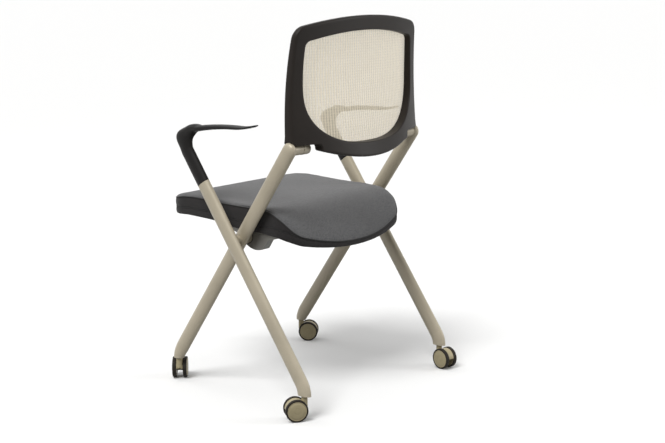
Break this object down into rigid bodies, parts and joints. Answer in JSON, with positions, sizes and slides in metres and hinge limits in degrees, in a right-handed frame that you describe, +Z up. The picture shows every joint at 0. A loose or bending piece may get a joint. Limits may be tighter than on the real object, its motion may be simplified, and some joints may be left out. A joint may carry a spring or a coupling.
{
  "type": "nesting chair",
  "caption": "Nesting chair on twin-wheel castors with crossed oval legs, short cantilever armrests, a flip-up upholstered seat and a tilting mesh backrest.",
  "frame": {"origin": "on the floor, in the plane of symmetry, 3 mm behind the crossing of the legs", "axes": "+Z up, +Y towards the back of the chair, so the sitter faces -Y; +X towards the left of the sitter"},
  "size_m": [0.5689, 0.5099, 0.862],
  "materials": {
    "leg_paint": "satin",
    "cast_paint": "satin",
    "back_plastic": "satin",
    "mesh_fabric": "open knit",
    "bead_plastic": "matte",
    "seat_fabric": "woven",
    "pan_plastic": "matte",
    "arm_plastic": "satin",
    "bracket_paint": "satin",
    "castor_plastic": "satin",
    "tread_rubber": "matte",
    "steel": "bright",
    "soft_rubber": "matte",
    "nylon": "matte"
  },
  "bodies": {
    "frame": {"rear_leg_left": "leg_paint", "rear_leg_right": "leg_paint", "front_leg_left": "leg_paint", "front_leg_right": "leg_paint", "rear_foot_left": "cast_paint", "rear_foot_right": "cast_paint", "front_foot_left": "cast_paint", "front_foot_right": "cast_paint", "leg_spacer_left": "cast_paint", "leg_spacer_right": "cast_paint", "pivot_housing_left": "cast_paint", "pivot_housing_right": "cast_paint", "armrest_left": "arm_plastic", "armrest_right": "arm_plastic", "seat_tube": "leg_paint", "pivot_pins": "steel", "castor_sockets": "nylon", "castor_stems": "steel"},
    "seat": {"seat_cushion": "seat_fabric", "seat_pan": "pan_plastic", "seat_bracket_left": "bracket_paint", "seat_bracket_right": "bracket_paint", "bracket_bushes": "nylon", "bracket_screws": "steel", "seat_buffers": "soft_rubber"},
    "backrest": {"back_frame": "back_plastic", "back_mesh": "mesh_fabric", "mesh_bead": "bead_plastic", "back_lug_left": "cast_paint", "back_lug_right": "cast_paint", "tilt_bushes": "soft_rubber", "lug_screws": "steel"},
    "castor_rear_left": {"castor_rear_left_hood": "castor_plastic", "castor_rear_left_axle": "steel"},
    "castor_rear_left_wheel_a": {"castor_rear_left_wheel_a": "castor_plastic", "castor_rear_left_tread_a": "tread_rubber"},
    "castor_rear_left_wheel_b": {"castor_rear_left_wheel_b": "castor_plastic", "castor_rear_left_tread_b": "tread_rubber"},
    "castor_rear_right": {"castor_rear_right_hood": "castor_plastic", "castor_rear_right_axle": "steel"},
    "castor_rear_right_wheel_a": {"castor_rear_right_wheel_a": "castor_plastic", "castor_rear_right_tread_a": "tread_rubber"},
    "castor_rear_right_wheel_b": {"castor_rear_right_wheel_b": "castor_plastic", "castor_rear_right_tread_b": "tread_rubber"},
    "castor_front_right": {"castor_front_right_hood": "castor_plastic", "castor_front_right_axle": "steel"},
    "castor_front_right_wheel_a": {"castor_front_right_wheel_a": "castor_plastic", "castor_front_right_tread_a": "tread_rubber"},
    "castor_front_right_wheel_b": {"castor_front_right_wheel_b": "castor_plastic", "castor_front_right_tread_b": "tread_rubber"},
    "castor_front_left": {"castor_front_left_hood": "castor_plastic", "castor_front_left_axle": "steel"},
    "castor_front_left_wheel_a": {"castor_front_left_wheel_a": "castor_plastic", "castor_front_left_tread_a": "tread_rubber"},
    "castor_front_left_wheel_b": {"castor_front_left_wheel_b": "castor_plastic", "castor_front_left_tread_b": "tread_rubber"}
  },
  "joints": [
    {"name": "seat_flip", "type": "hinge", "parent": "frame", "child": "seat", "pos_m": [0, -0.003, 0.37], "axis": [-1, 0, 0], "range_deg": [0, 80]},
    {"name": "back_tilt", "type": "hinge", "parent": "frame", "child": "backrest", "pos_m": [0, 0.14293, 0.57997], "axis": [-1, 0, 0], "range_deg": [0, 12], "stiffness_Nm_per_rad": 60, "springref_deg": -5.73},
    {"name": "rear_left_swivel", "type": "hinge", "parent": "frame", "child": "castor_rear_left", "pos_m": [0.253, 0.206, 0.05], "axis": [0, 0, 1], "continuous": true},
    {"name": "rear_left_roll_a", "type": "hinge", "parent": "castor_rear_left", "child": "castor_rear_left_wheel_a", "pos_m": [0.26873, 0.19414, 0.025], "axis": [0.6018, 0.7986, 0], "continuous": true},
    {"name": "rear_left_roll_b", "type": "hinge", "parent": "castor_rear_left", "child": "castor_rear_left_wheel_b", "pos_m": [0.26873, 0.19414, 0.025], "axis": [0.6018, 0.7986, 0], "continuous": true},
    {"name": "rear_right_swivel", "type": "hinge", "parent": "frame", "child": "castor_rear_right", "pos_m": [-0.253, 0.206, 0.05], "axis": [0, 0, 1], "continuous": true},
    {"name": "rear_right_roll_a", "type": "hinge", "parent": "castor_rear_right", "child": "castor_rear_right_wheel_a", "pos_m": [-0.24958, 0.2254, 0.025], "axis": [-0.9848, 0.1736, 0], "continuous": true},
    {"name": "rear_right_roll_b", "type": "hinge", "parent": "castor_rear_right", "child": "castor_rear_right_wheel_b", "pos_m": [-0.24958, 0.2254, 0.025], "axis": [-0.9848, 0.1736, 0], "continuous": true},
    {"name": "front_right_swivel", "type": "hinge", "parent": "frame", "child": "castor_front_right", "pos_m": [-0.222, -0.216, 0.05], "axis": [0, 0, 1], "continuous": true},
    {"name": "front_right_roll_a", "type": "hinge", "parent": "castor_front_right", "child": "castor_front_right_wheel_a", "pos_m": [-0.2333, -0.19986, 0.025], "axis": [-0.8192, -0.5736, 0], "continuous": true},
    {"name": "front_right_roll_b", "type": "hinge", "parent": "castor_front_right", "child": "castor_front_right_wheel_b", "pos_m": [-0.2333, -0.19986, 0.025], "axis": [-0.8192, -0.5736, 0], "continuous": true},
    {"name": "front_left_swivel", "type": "hinge", "parent": "frame", "child": "castor_front_left", "pos_m": [0.222, -0.216, 0.05], "axis": [0, 0, 1], "continuous": true},
    {"name": "front_left_roll_a", "type": "hinge", "parent": "castor_front_left", "child": "castor_front_left_wheel_a", "pos_m": [0.20691, -0.22866, 0.025], "axis": [0.6428, -0.766, 0], "continuous": true},
    {"name": "front_left_roll_b", "type": "hinge", "parent": "castor_front_left", "child": "castor_front_left_wheel_b", "pos_m": [0.20691, -0.22866, 0.025], "axis": [0.6428, -0.766, 0], "continuous": true}
  ]
}
